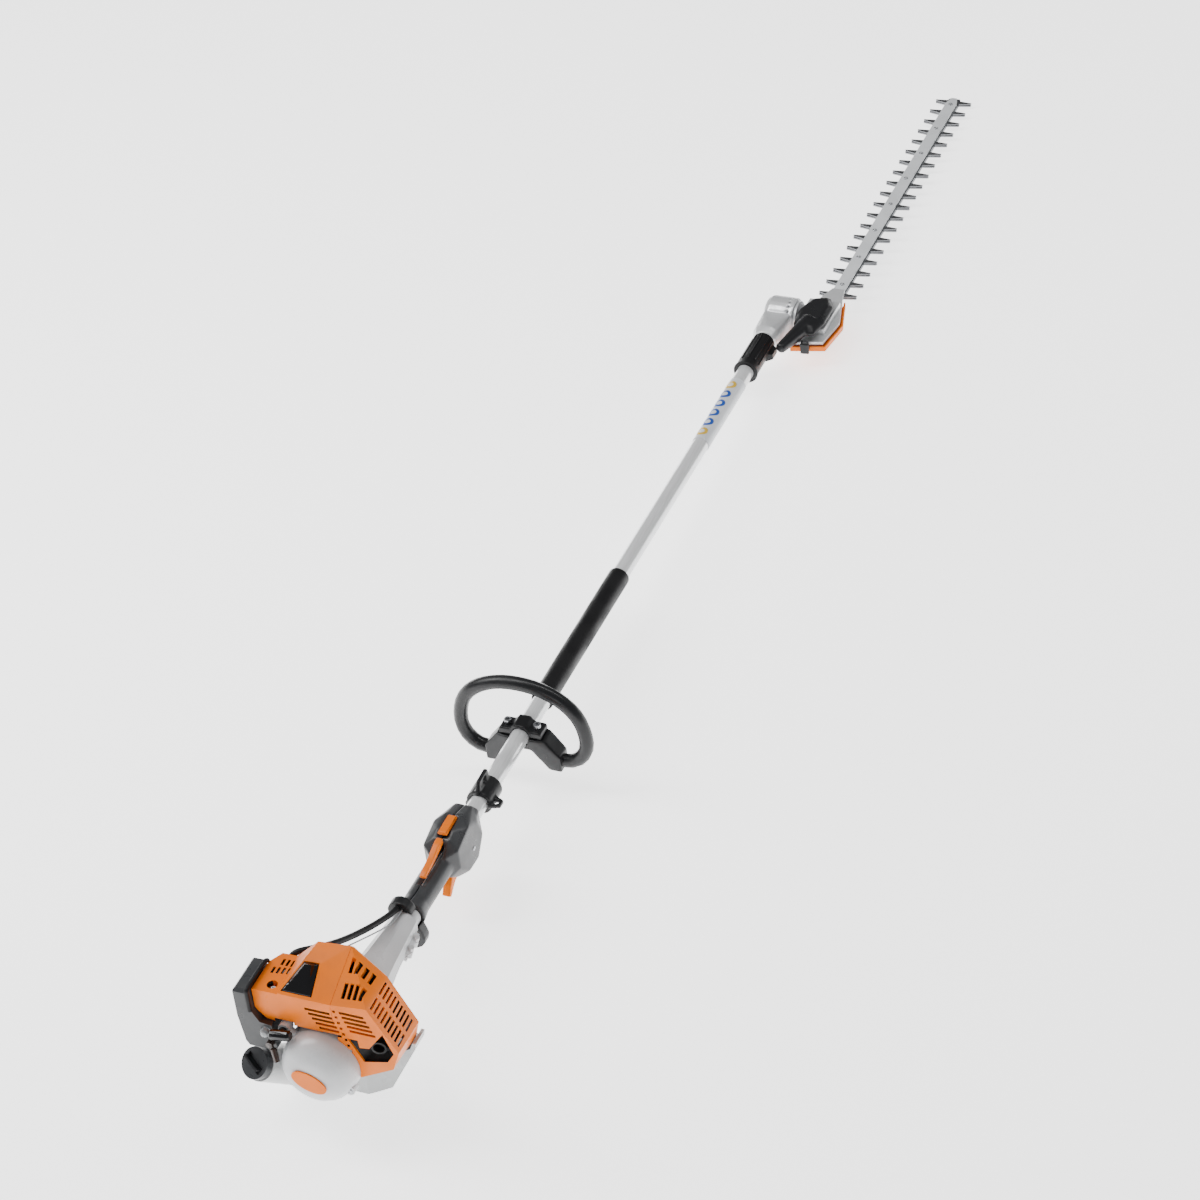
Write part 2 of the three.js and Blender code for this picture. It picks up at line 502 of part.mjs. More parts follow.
function hangerClamp() {
  const eyeLug = hull([[-4, 520, 12], [4, 520, 12], [-4, 556, 12], [4, 556, 12],
    [-3, 528, 33], [3, 528, 33], [-3, 554, 34], [3, 554, 34]]);
  const cordLug = hull([[12, 518, -4], [12, 542, -4], [12, 518, 4], [12, 542, 4],
    [31, 522, -3], [31, 534, -3], [31, 522, 3], [31, 534, 3]]);
  const hingeLug = hull([[-22, 524, -12], [-22, 556, -12], [-22, 524, -5], [-22, 556, -5],
    [-10, 524, -14], [-10, 556, -14], [-10, 524, 2], [-10, 556, 2]]);
  const eye = rod([-10, 542, 24.5], [10, 542, 24.5], 5.4, 5.4, 14);
  const cordHole = rod([23, 528, -10], [23, 528, 10], 4, 4, 12);
  const body = join(rodY(18.5, 522, 560, 24), eyeLug, cordLug, hingeLug);
  piece('hanger_clamp', cut(body, rodY(FIT_R, 500, 580), eye, cordHole), BLACK);
}

const LOOP_HALF = [[57, -39.4], [63, -39], [73, -35.5], [85, -24], [92, -6], [91, 18], [82, 44], [62, 65],
  [32, 79], [0, 83]];

function loopHandle() {
  const half = LOOP_HALF.map(([x, z]) => [x, HANDLE_Y, z]);
  const other = half.slice(0, -1).reverse().map(([x, y, z]) => [-x, y, z]);
  piece('loop_handle', bentTube([...half, ...other], 10, 10, 34), BLACK);
  const y0 = HANDLE_Y - 13;
  const y1 = HANDLE_Y + 13;
  const arm = (s) => join(hull([[s * 20, y0 - 4, 3], [s * 32, y0, 3], [s * 20, y1 + 4, 3], [s * 32, y1, 3],
    [s * 14, y0 - 4, -17], [s * 14, y1 + 4, -17], [s * 38, y0, -51], [s * 38, y1, -51],
    [s * 55.7, y0, -52], [s * 55.7, y1, -52], [s * 55.7, y0, -27], [s * 55.7, y1, -27]]));
  const lower = cut(join(arm(1), arm(-1), box(-22, 22, y0 - 4, y1 + 4, -18, -0.4)),
    rodY(FIT_R, 640, 710), box(-40, 40, 640, 710, -0.4, 20));
  const holes = [21.5, -21.5].map((x) => rod([x, HANDLE_Y, -60], [x, HANDLE_Y, 40], 3.3, 3.3, 12));
  piece('loop_clamp_lower', cut(lower, ...holes), BLACK);
  const saddle = prism([[-31, 0.4], [31, 0.4], [31, 9], [28, 11], [14, 11], [8, 18.5], [-8, 18.5], [-14, 11],
    [-28, 11], [-31, 9]], 'y', y0, y1);
  piece('loop_clamp_upper', cut(saddle, rodY(FIT_R, 640, 710), ...holes), BLACK);
  for (const [name, x] of [['loop_bolt_right', 21.5], ['loop_bolt_left', -21.5]]) {
    const shank = rod([x, HANDLE_Y, -24], [x, HANDLE_Y, 12], 2.9, 2.9, 12);
    const head = rod([x, HANDLE_Y, 11.4], [x, HANDLE_Y, 17], 5.4, 5.2, 16);
    const socket = rod([x, HANDLE_Y, 14], [x, HANDLE_Y, 18], 2.6, 2.6, 6);
    piece(name, join(shank, cut(head, socket)), STEEL);
  }
}

// ---- control handle -------------------------------------------------------------------------
const HEAD_OUTLINE = [[392, 18], [408, 34], [424, 39.5], [452, 40.5], [482, 32], [495, 16], [496, -15],
  [486, -36], [466, -48], [436, -47], [412, -33], [396, -19]];
const HEAD_FACET = [[403, 24], [440, 34], [466, 21], [475, -8], [456, -32], [428, -31], [404, -6]];

function controlHandle() {
  const half = 12;
  const head = hull([-1, 1].flatMap((s) => [...HEAD_OUTLINE.map(([y, z]) => [s * half, y, z]),
    ...HEAD_FACET.map(([y, z]) => [s * 25, y, z])]));
  const grip = rodY(18, 300, 404, 28);
  const rearCuff = rod([0, 299.7, 0], [0, 318, 0], 21, 18.2, 28);
  const triggerSlot = prism([[398, -13.5], [398, -70], [442, -70], [456, -44], [456, -26],
    [440, -14]], 'x', -6.4, 6.4);
  const lockoutSlot = box(-5.3, 5.3, 338, 409, 15, 60);
  const buttonPocket = box(-7.2, 7.2, 411.5, 449.5, 33, 60);
  const body = cut(join(head, grip, rearCuff), rodY(FIT_R, 290, 510), triggerSlot, lockoutSlot, buttonPocket);
  const right = box(0.2, 60, 280, 520, -80, 80);
  const left = box(-60, -0.2, 280, 520, -80, 80);
  piece('handle_shell_right', body.intersect(right), BLACK);
  piece('handle_shell_left', body.intersect(left), BLACK);
}

function handleControls() {
  const trigger = prism([[450, -34], [436, -25], [420, -26], [411, -33], [404, -43], [397, -56], [402, -61],
    [410, -54], [420, -47], [436, -44.5], [450, -42]], 'x', -5.8, 5.8);
  piece('trigger', trigger, ORANGE);
  const lockout = prism([[346, 21], [344, 24.5], [352, 27.5], [374, 31.5], [394, 38.6], [406, 40], [406, 31],
    [394, 28], [372, 23.5]], 'x', -4.6, 4.6);
  piece('trigger_lockout', lockout, ORANGE);
  const button = hull([[-6.6, 413, 35.5], [6.6, 413, 35.5], [-6.6, 448, 35.5], [6.6, 448, 35.5],
    [-6.6, 413, 41], [6.6, 413, 41], [-6.6, 448, 42], [6.6, 448, 42], [-5, 415, 42.5], [5, 415, 42.5],
    [-5, 446, 43.5], [5, 446, 43.5]]);
  piece('stop_button', button, ORANGE);
}

function handleCollar() {
  const lobes = [];
  for (const [x, z, r] of [[-6, 15, 17], [6, -24, 19]]) {
    for (let a = 0; a < 360; a += 24) {
      const t = THREE.MathUtils.degToRad(a);
      for (const y of [284, 299.3]) lobes.push([x + r * Math.cos(t), y, z + r * Math.sin(t)]);
    }
  }
  piece('handle_collar', cut(hull(lobes), rodY(18.8, 280, 298.5), rodY(FIT_R, 298, 301)), BLACK);
}

// Throttle cable conduit: held at the handle collar and inside the hood beside the carburettor.
const CONDUIT = [[-7, 282.4, 24], [-8, 272, 26], [-12, 250, 32], [-19, 215, 44], [-28, 175, 61],
  [-38, 145, 76], [-48, 124, 88], [-58, 114, 90], [-66, 111, 82], [-68, 110, 72]];

function conduit() {
  piece('throttle_conduit', bentTube(CONDUIT, 4.1, 8, 26), RUBBER);
}

// ---- cutter head -----------------------------------------------------------------------------
function gearHousing() {
  const sleeve = cut(join(rod([0, 1556, 0], [0, 1566, 0], 19.5, 17.6, 24), rodY(17.6, 1565, 1640, 24),
    hull([[14, 1606, -12], [14, 1636, -12], [14, 1606, 2], [14, 1636, 2], [24, 1612, -10], [24, 1632, -10],
      [24, 1612, -1], [24, 1632, -1]])), rodY(FIT_R, 1550, 1650));
  piece('head_sleeve', sleeve, RUBBER);
  const ring = (r, y) => Array.from({ length: 16 }, (_, n) => [r * Math.cos((n * Math.PI) / 8), y,
    r * Math.sin((n * Math.PI) / 8)]);
  const block = hull([...ring(18, 1640.5), ...ring(23.5, 1654), [-22, 1704, -18], [24, 1704, -18],
    [-20, 1704, 16], [24, 1704, 16]]);
  const barrel = join(rod([-14, PIVOT_Y, 0], [26, PIVOT_Y, 0], 28, 28, 24),
    rod([-21, PIVOT_Y, 0], [-14, PIVOT_Y, 0], 23.5, 28, 24),
    rod([-25, PIVOT_Y, 0], [-21, PIVOT_Y, 0], 15, 23.5, 24));
  const inside = join(rodY(FIT_R, 1636, TUBE_END + 0.5), rodY(10.4, 1670, 1706, 24),
    rod([-16, PIVOT_Y, 0], [14, PIVOT_Y, 0], 20.5, 20.5, 24),
    rod([13, PIVOT_Y, 0], [27, PIVOT_Y, 0], 16, 16, 24));
  let housing = cut(join(block, barrel), inside);
  for (let a = 60; a <= 140; a += 19) {
    const hole = rod([17, PIVOT_Y, 20], [17, PIVOT_Y, 32], 2.4, 2.4, 8)
      .translate([0, -PIVOT_Y, 0]).rotate([a - 90, 0, 0]).translate([0, PIVOT_Y, 0]);
    housing = cut(housing, hole);
  }
  piece('gear_housing', housing, CAST);
  const gear = join(rod([2, PIVOT_Y, 0], [12, PIVOT_Y, 0], 9, 16.5, 20),
    rod([11, PIVOT_Y, 0], [43, PIVOT_Y, 0], 5, 5, 12));
  piece('pivot_gear', gear, STEEL);
}

const PLATE = [[44, 1652], [88, 1663], [96, 1722], [79, 1786], [74, 1812], [54, 1812], [46, 1790], [33, 1744],
  [33, 1700]];

function cutterHead() {
  const plate = prism(PLATE, 'z', -6.2, -1);
  const block = join(box(34, 84, 1682, 1762, -6.2, 9), box(28, 36, 1702, 1742, -6.2, 9),
    rod([26.6, PIVOT_Y, 0], [30.6, PIVOT_Y, 0], 24, 24, 24),
    rod([16, PIVOT_Y, 0], [28, PIVOT_Y, 0], 15.6, 15.6, 24));
  const gearRoom = join(rod([BLADE_X, PIVOT_Y, -1], [BLADE_X, PIVOT_Y, 20], 16, 16, 24),
    rod([10, PIVOT_Y, 0], [46, PIVOT_Y, 0], 5.5, 5.5, 16),
    rod([BLADE_X, PIVOT_Y, -10], [BLADE_X, PIVOT_Y, 0], 5.5, 5.5, 16));
  const bladeRoom = box(BLADE_X - 15, 120, 1680, 1800, -40, -6.2);
  const underCut = box(36.4, 120, 1640, 1800, -40, -6.3);
  piece('head_casing', cut(join(plate, block), gearRoom, bladeRoom, underCut), CAST);
  const gear = join(rod([BLADE_X, PIVOT_Y, 0], [BLADE_X, PIVOT_Y, 6], 15, 15, 24),
    rod([BLADE_X, PIVOT_Y, -6], [BLADE_X, PIVOT_Y, 1], 5, 5, 16));
  piece('blade_crank_gear', gear, STEEL);
  const rim = [[31.5, 1712], [43, 1748], [70, 1760], [82.5, 1736], [83, 1692], [75, 1660],
    [54, 1654], [35, 1680]];
  const crown = [[38, 1714], [48, 1742], [67, 1749], [75, 1730], [75.5, 1692],
    [68, 1670], [56, 1666], [43, 1688]];
  const lid = hull([...rim.map(([x, y]) => [x, y, 9.3]), ...rim.map(([x, y]) => [x, y, 15]),
    ...crown.map(([x, y]) => [x, y, 24])]);
  const arm = join(rod([37.5, 1612, 13], [60, 1690, 15], 8.6, 15, 18),
    rod([36.8, 1609.5, 13], [37.5, 1612, 13], 6.5, 8.6, 18));
  const boss = rod([64, 1743, 12], [64, 1743, 22.5], 7.5, 6.5, 16);
  const clear = box(20, 100, 1652, 1790, -10, 9.3);
  piece('head_cover', cut(join(lid, arm, boss), clear, box(20, 31, 1690, 1760, 0, 40)), BLACK);
}

function headUnderside() {
  const tray = prism([[40, 1646], [93, 1659], [101, 1722], [84, 1785], [80, 1785], [76, 1740], [50, 1740],
    [40, 1700]], 'z', -14.6, -6.6);
  const room = prism([[43, 1649.5], [90.5, 1661.5], [98, 1722], [83, 1779], [80, 1790], [30, 1790], [30, 1700],
    [43, 1700]], 'z', -12.6, 0);
  piece('hand_guard', cut(tray, room), ORANGE);
  const top = [[50, 1690], [80, 1690], [84, 1722], [78, 1760], [54, 1760], [48, 1722]];
  const low = [[55, 1700], [75, 1700], [78, 1722], [74, FLOOR_NOSE.y - 8], [58, FLOOR_NOSE.y - 8], [53, 1722]];
  const pan = hull([...top.map(([x, y]) => [x, y, -15]), ...low.map(([x, y]) => [x, y, FLOOR_NOSE.z - 2])]);
  piece('gear_pan', cut(pan, floorCut()), BLACK);
  const lever = hull([[58, 1642, -14], [72, 1643, -14], [58, 1650.8, -14], [72, 1654, -14], [58, 1642, 4],
    [72, 1643, 4], [59, 1648, 8], [71, 1648, 8]]);
  piece('index_lever', cut(lever, box(50, 80, 1646.6, 1660, -20, -5.8)), BLACK);
}

// One double-sided blade: a long strip with teeth on both edges.
function blade(name, z0, z1, lean) {
  const end = FIRST_TOOTH + TOOTH_PITCH * (TEETH - 1);
  const right = [];
  for (let n = 0; n < TEETH; n += 1) {
    const y = FIRST_TOOTH + TOOTH_PITCH * n;
    right.push([11.5, y - 6], [30.5, y - 2.4 + lean], [31.5, y + 0.6 + lean], [11.5, y + 4]);
  }
  const left = right.slice().reverse().map(([x, y]) => [-x, y]);
  const profile = [[-11, 1746], [11, 1746], [11, 1780], ...right,
    [9, end + 10], [-9, end + 10], ...left, [-11, 1780]];
  const slot = box(BLADE_X - 6, BLADE_X + 6, 1700, 1762, -20, 0);
  piece(name, cut(prism(profile.map(([x, y]) => [BLADE_X + x, y]), 'z', z0, z1), slot), STEEL);
}

function cutterBar() {
  const end = FIRST_TOOTH + TOOTH_PITCH * (TEETH - 1);
  blade('upper_blade', -9, -6.5, 1.5);
  blade('lower_blade', -11.8, -9.3, 0);
  const strip = [[-9.5, 1813], [9.5, 1813], [9.5, end - 12], [5, end + 6], [-5, end + 6], [-9.5, end - 12]];
  piece('blade_bar', prism(strip.map(([x, y]) => [BLADE_X + x, y]), 'z', -6.2, -2.6), PALE);
}

// ---- assembly ------------------------------------------------------------------------------------
crankcase();
bearings();
crankshaft();
pistonAndRod();
cylinder();
sparkPlug();
flywheel();
starterCover();
starterPulley();
starterGrip();
hoodAndGuard();
sparkPlugBoot();
muffler();
carburettor();
airFilter();
chokeLever();
fuelTank();
fuelCap();
clutch();
clutchHousing();
driveShaft();
pole();
hangerClamp();
loopHandle();
controlHandle();
handleControls();
handleCollar();
conduit();
gearHousing();
cutterHead();
headUnderside();
cutterBar();

machine.rotation.x = -LAY_ANGLE;
machine.updateMatrixWorld(true);
const bounds = new THREE.Box3().setFromObject(machine, true);
const middle = bounds.getCenter(new THREE.Vector3());
machine.position.set(-middle.x, -middle.y, -bounds.min.z);

const trimmer = new THREE.Group();
trimmer.add(machine);
trimmer.updateMatrixWorld(true);

export default trimmer;
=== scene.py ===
"""Looks of the pole hedge trimmer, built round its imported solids.

Lengths are in metres, unless a name ends in _mm or a comment says millimetres.
"""
import json
import math

import bmesh
import bpy
from mathutils import Matrix, Vector


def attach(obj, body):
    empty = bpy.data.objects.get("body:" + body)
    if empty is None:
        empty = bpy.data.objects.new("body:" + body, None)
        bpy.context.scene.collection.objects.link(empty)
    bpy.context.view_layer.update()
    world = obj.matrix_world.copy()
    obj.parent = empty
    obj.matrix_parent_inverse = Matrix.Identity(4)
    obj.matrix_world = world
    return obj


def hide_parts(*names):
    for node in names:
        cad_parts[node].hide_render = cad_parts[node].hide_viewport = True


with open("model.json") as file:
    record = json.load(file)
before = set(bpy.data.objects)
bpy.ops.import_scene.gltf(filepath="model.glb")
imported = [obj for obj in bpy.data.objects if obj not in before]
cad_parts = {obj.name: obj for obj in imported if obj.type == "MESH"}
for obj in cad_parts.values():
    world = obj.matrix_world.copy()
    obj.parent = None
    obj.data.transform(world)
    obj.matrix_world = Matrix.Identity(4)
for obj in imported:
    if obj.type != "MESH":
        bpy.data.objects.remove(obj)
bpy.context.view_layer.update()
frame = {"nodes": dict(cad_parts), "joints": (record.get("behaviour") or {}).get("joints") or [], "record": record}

# ---- the machine's own frame ---------------------------------------------------------------
# Places are given in millimetres along the machine: x to the right, y along the pole, z up, with
# the crank axis at x = z = 0. The crank joint says how the machine lies on the floor.
CRANK = next(j for j in frame["joints"] if j["name"] == "crank_spin")
CRANK_Y_MM = 80
POLE = Vector(CRANK["axis"])
SIDE = Vector((1, 0, 0))
UP = SIDE.cross(POLE)
ORIGIN = Vector(CRANK["pos_m"]) - POLE * CRANK_Y_MM / 1000
LAY = Matrix((SIDE, POLE, UP)).transposed().to_4x4()
LAY.translation = ORIGIN


def at(x, y, z):
    """A point given in millimetres along the machine."""
    return LAY @ (Vector((x, y, z)) / 1000)


def toward(x, y, z):
    """A direction given along the machine."""
    return LAY.to_3x3() @ Vector((x, y, z))


# ---- camera, light and floor -----------------------------------------------------------------
LENS_MM = 104.25
CAMERA_SPOT_MM = (1694, -2524, 3007)
CAMERA_RIGHT = (0.9241, 0.3705, -0.0921)
CAMERA_FORWARD = (-0.3460, 0.7110, -0.6120)
FLOOR_HALF = 30
FLOOR_DROP = 0.0005
FLOOR_GLOW = 2.1
WORLD_STRENGTH = 0.3


def make_camera():
    data = bpy.data.cameras.new("camera")
    data.lens = LENS_MM
    data.clip_end = 50
    cam = bpy.data.objects.new("camera", data)
    right = toward(*CAMERA_RIGHT).normalized()
    forward = toward(*CAMERA_FORWARD).normalized()
    up = right.cross(forward)
    turn = Matrix((right, up, -forward)).transposed().to_4x4()
    turn.translation = at(*CAMERA_SPOT_MM)
    cam.matrix_world = turn
    bpy.context.scene.collection.objects.link(cam)
    bpy.context.scene.camera = cam


def softbox(name, spot, target, size, power):
    """White area light of the given width and height, facing the target."""
    data = bpy.data.lights.new(name, "AREA")
    data.shape = "RECTANGLE"
    data.size, data.size_y = size
    data.energy = power
    lamp = bpy.data.objects.new(name, data)
    lamp.location = spot
    lamp.rotation_mode = "QUATERNION"
    lamp.rotation_quaternion = (Vector(target) - Vector(spot)).to_track_quat("-Z", "Y")
    bpy.context.scene.collection.objects.link(lamp)


def make_studio():
    softbox("key", (-2.4, -0.8, 2.8), (0, -0.4, 0), (1.2, 3.0), 120)
    softbox("strip", (0.5, 0.2, 3.0), (0, 0, 0), (0.3, 3.6), 36)
    softbox("front", (0.6, -3.6, 1.2), (0, -1.0, 0.1), (1.4, 0.8), 9)
    world = bpy.data.worlds.new("studio")
    bpy.context.scene.world = world
    world.use_nodes = True
    background = world.node_tree.nodes["Background"]
    background.inputs["Color"].default_value = (1, 1, 1, 1)
    background.inputs["Strength"].default_value = WORLD_STRENGTH
    make_floor()


def make_floor():
    """Wide pale floor that glows a little, so that it stays lighter than the machine."""
    mesh = bpy.data.meshes.new("floor")
    far = FLOOR_HALF
    mesh.from_pydata([(-far, -far, 0), (far, -far, 0), (far, far, 0), (-far, far, 0)], [], [(0, 1, 2, 3)])
    floor = bpy.data.objects.new("floor", mesh)
    floor.location.z = -FLOOR_DROP
    bpy.context.scene.collection.objects.link(floor)
    paint = Paint("floor_paint", (0.95, 0.95, 0.95), 0.8)
    paint.mottle(0.7, 0.002)
    paint.shader.inputs["Specular IOR Level"].default_value = 0.1
    paint.shader.inputs["Emission Color"].default_value = (1, 1, 1, 1)
    paint.shader.inputs["Emission Strength"].default_value = FLOOR_GLOW
    mesh.materials.append(paint.material)


# ---- materials ----------------------------------------------------------------------------------
class Paint:
    """A procedural finish: colour mottle, surface grain, roughness patches and worn edges."""

    def __init__(self, name, colour, rough, metal=0.0, coat=0.0, shine=0.5):
        self.material = bpy.data.materials.new(name)
        self.material.use_nodes = True
        self.tree = self.material.node_tree
        self.shader = self.tree.nodes["Principled BSDF"]
        self.colour = colour
        self.rough = rough
        self.shader.inputs["Base Color"].default_value = (*colour, 1)
        self.shader.inputs["Roughness"].default_value = rough
        self.shader.inputs["Metallic"].default_value = metal
        self.shader.inputs["Coat Weight"].default_value = coat
        self.shader.inputs["Specular IOR Level"].default_value = shine
        self.shader.inputs["Coat Roughness"].default_value = 0.06
        self.coords = self.tree.nodes.new("ShaderNodeTexCoord").outputs["Object"]
        self.tint = None

    def node(self, kind, **inputs):
        made = self.tree.nodes.new(kind)
        for key, value in inputs.items():
            made.inputs[key].default_value = value
        return made

    def link(self, out, into):
        self.tree.links.new(out, into)

    def noise(self, scale, detail=3.0, stretch=(1, 1, 1)):
        place = self.node("ShaderNodeMapping")
        place.inputs["Scale"].default_value = stretch
        self.link(self.coords, place.inputs["Vector"])
        made = self.node("ShaderNodeTexNoise", Scale=scale, Detail=detail)
        self.link(place.outputs["Vector"], made.inputs["Vector"])
        return made.outputs["Fac"]

    def ramp(self, value, low, high, from_low=0.35, from_high=0.65):
        made = self.node("ShaderNodeMapRange")
        made.inputs["From Min"].default_value = from_low
        made.inputs["From Max"].default_value = from_high
        made.inputs["To Min"].default_value = low
        made.inputs["To Max"].default_value = high
        self.link(value, made.inputs["Value"])
        return made.outputs["Result"]

    def blend(self, mask, colour):
        """Lays another colour over the finish where the mask is one."""
        mix = self.tree.nodes.new("ShaderNodeMix")
        mix.data_type = "RGBA"
        if self.tint is None:
            mix.inputs[6].default_value = (*self.colour, 1)
        else:
            self.link(self.tint, mix.inputs[6])
        mix.inputs[7].default_value = (*colour, 1)
        self.link(mask, mix.inputs[0])
        self.tint = mix.outputs[2]
        self.link(self.tint, self.shader.inputs["Base Color"])
        return self

    def mottle(self, scale, amount, stretch=(1, 1, 1)):
        """Slow drift of the colour, darker in patches, with roughness drifting too."""
        drift = self.noise(scale, 4.0, stretch)
        self.blend(self.ramp(drift, 0, 1), tuple(c * (1 - 4 * amount) for c in self.colour))
        spread = 0.25 * self.rough
        patches = self.ramp(drift, self.rough - spread, self.rough + spread)
        self.link(patches, self.shader.inputs["Roughness"])
        return self

    def grain(self, scale, height, stretch=(1, 1, 1)):
        """Fine relief of the surface."""
        bump = self.node("ShaderNodeBump", Strength=0.6, Distance=height)
        self.link(self.noise(scale, 2.0, stretch), bump.inputs["Height"])
        self.link(bump.outputs["Normal"], self.shader.inputs["Normal"])
        return self

    def worn(self, colour, width, amount):
        """Edges polished or dusted to another colour, found where a rounded normal leaves the flat one."""
        round_off = self.node("ShaderNodeBevel", Radius=width)
        round_off.samples = 3
        flat = self.tree.nodes.new("ShaderNodeNewGeometry")
        dot = self.tree.nodes.new("ShaderNodeVectorMath")
        dot.operation = "DOT_PRODUCT"
        self.link(round_off.outputs["Normal"], dot.inputs[0])
        self.link(flat.outputs["Normal"], dot.inputs[1])
        edge = self.ramp(dot.outputs["Value"], amount, 0.0, 0.82, 0.985)
        broken = self.node("ShaderNodeMath")
        broken.operation = "MULTIPLY"
        self.link(edge, broken.inputs[0])
        self.link(self.ramp(self.noise(180, 3.0), 0.25, 1.0), broken.inputs[1])
        return self.blend(broken.outputs[0], colour)


def lighter(colour, gain, lift):
    """The colour that worn edges take."""
    return tuple(min(1, c * gain + lift) for c in colour)


def moulded(name, colour, rough, coat=0.0, grain=0.00006, mottle=0.03, edge=0.25, shine=0.5):
    paint = Paint(name, colour, rough, coat=coat, shine=shine).mottle(28, mottle).grain(900, grain)
    return paint.worn(lighter(colour, 1.5, 0.03), 0.0012, edge)


def metal(name, colour, rough, stretch=(1, 1, 1), edge=0.5, pure=1.0):
    paint = Paint(name, colour, rough, metal=pure).mottle(60, 0.03, stretch)
    paint.grain(700, 0.00005, stretch)
    return paint.worn(lighter(colour, 1.6, 0.05), 0.001, edge)


PAINTS = {
    "orange": moulded("orange_plastic", (0.92, 0.19, 0.0), 0.36, edge=0.08, shine=0.22),
    "light_grey": moulded("light_grey_plastic", (0.60, 0.61, 0.62), 0.34),
    "tank": moulded("tank_plastic", (0.50, 0.51, 0.51), 0.32, mottle=0.02),
    "black": moulded("black_plastic", (0.009, 0.0095, 0.011), 0.34, edge=0.15, shine=0.35),
    "gloss_black": moulded("gloss_black_plastic", (0.003, 0.003, 0.004), 0.12, grain=0.00002),
    "dark_grey": moulded("dark_grey_plastic", (0.040, 0.042, 0.045), 0.34, edge=0.15, shine=0.4),
    "brown": moulded("brown_plastic", (0.035, 0.016, 0.010), 0.2, coat=0.4),
    "clear": moulded("clear_plastic", (0.55, 0.58, 0.60), 0.10, coat=0.5, grain=0.00001),
    "rubber": moulded("rubber", (0.004, 0.004, 0.005), 0.48, grain=0.0002, edge=0.1, shine=0.3),
    "cast": metal("cast_aluminium", (0.78, 0.79, 0.80), 0.38, pure=0.5),
    "steel": metal("ground_steel", (0.45, 0.46, 0.48), 0.3),
    "dark_steel": metal("blade_steel", (0.20, 0.205, 0.215), 0.34, stretch=(6, 1, 6)),
    "tube": metal("bright_tube", (0.93, 0.94, 0.95), 0.16, stretch=(8, 0.25, 8), edge=0.2, pure=0.4),
    "brass": metal("bronze", (0.5, 0.33, 0.12), 0.35),
    "ceramic": moulded("ceramic", (0.8, 0.8, 0.77), 0.15, coat=0.4),
    "paper": moulded("filter_paper", (0.5, 0.38, 0.18), 0.9, grain=0.0002),
    "label": moulded("label_film", (0.72, 0.74, 0.77), 0.3),
    "pale": moulded("pale_guard", (0.80, 0.82, 0.84), 0.25, coat=0.3),
}
PAINTS["tank"].shader.inputs["Subsurface Weight"].default_value = 0.35
PAINTS["tank"].shader.inputs["Subsurface Radius"].default_value = (0.012, 0.012, 0.011)
PAINTS["clear"].shader.inputs["Transmission Weight"].default_value = 0.55


# ---- pieces made from the solids ------------------------------------------------------------------
VOXEL = 0.0012              # mesh size of the softened mouldings
RELAX_SHARE = 0.6           # how far one smoothing pass moves a point
MERGE = 1e-6                # points closer than this are one
FLAT_DEG = 0.8              # neighbouring facets flatter than this become one face
ROUNDING_DEFAULT_MM = 0.4
SMOOTH_DEFAULT_DEG = 34

ROUNDING_MM = {
    "starter_cover": 1.2, "fuel_tank": 3.0, "clutch_housing": 1.4, "air_filter_cover": 2.6,
    "engine_hood": 1.3, "muffler_guard": 1.3, "stop_button": 1.2, "gear_pan": 2.0,
}
# smoothing passes for the mouldings with soft, swelling shapes
SOFT_PASSES = {
    "handle_shell_right": 16, "handle_shell_left": 16, "head_cover": 24, "loop_clamp_lower": 14,
    "loop_clamp_upper": 10, "hanger_clamp": 6, "spark_plug_boot": 12, "handle_collar": 8,
    "gear_housing": 8, "trigger": 8, "trigger_lockout": 8, "index_lever": 5,
}
SMOOTH_DEG = {"loop_handle": 60, "choke_lever": 50}

SLOT_OF = {s["node"]: s["material_slot"] for s in frame["record"]["subparts"]}
BODY_OF = {n: b for b, nodes in frame["record"]["behaviour"]["bodies"].items() for n in nodes}


def smooth(obj, angle):
    """Shades smooth across edges flatter than the angle in degrees."""
    mesh = obj.data
    work = bmesh.new()
    work.from_mesh(mesh)
    for face in work.faces:
        face.smooth = True
    for edge in work.edges:
        edge.smooth = len(edge.link_faces) == 2 and edge.calc_face_angle(4) < math.radians(angle)
    work.to_mesh(mesh)
    work.free()


def soften(obj, passes):
    """Turns a faceted moulding into a smooth one: a fine even mesh, relaxed until its edges round off."""
    even = obj.modifiers.new("even", "REMESH")
    even.mode = "VOXEL"
    even.voxel_size = VOXEL
    even.use_smooth_shade = True
    relax = obj.modifiers.new("relaxed", "SMOOTH")
    relax.factor = RELAX_SHARE
    relax.iterations = passes


def finished(node, radius_mm, angle):
    """A rounded, smooth-shaded copy of a solid, which takes its place."""
    source = frame["nodes"][node]
    mesh = source.data.copy()
    mesh.name = "finished_" + node
    work = bmesh.new()
    work.from_mesh(mesh)
    bmesh.ops.remove_doubles(work, verts=work.verts, dist=MERGE)
    flat = math.radians(FLAT_DEG)
    bmesh.ops.dissolve_limit(work, angle_limit=flat, verts=work.verts, edges=work.edges)
    work.to_mesh(mesh)
    work.free()
    obj = bpy.data.objects.new("look_" + node, mesh)
    bpy.context.scene.collection.objects.link(obj)
    smooth(obj, angle)
    if node in SOFT_PASSES:
        soften(obj, SOFT_PASSES[node])
    else:
        bevel = obj.modifiers.new("rounded", "BEVEL")
        bevel.width = radius_mm / 1000
        bevel.segments = 2
        bevel.limit_method = "ANGLE"
        bevel.angle_limit = math.radians(max(25, angle - 9))
        bevel.harden_normals = True
    slot = SLOT_OF[node]
    mesh.materials.clear()
    mesh.materials.append(PAINTS[slot].material)
    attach(obj, BODY_OF[node])
    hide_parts(node)
    return obj


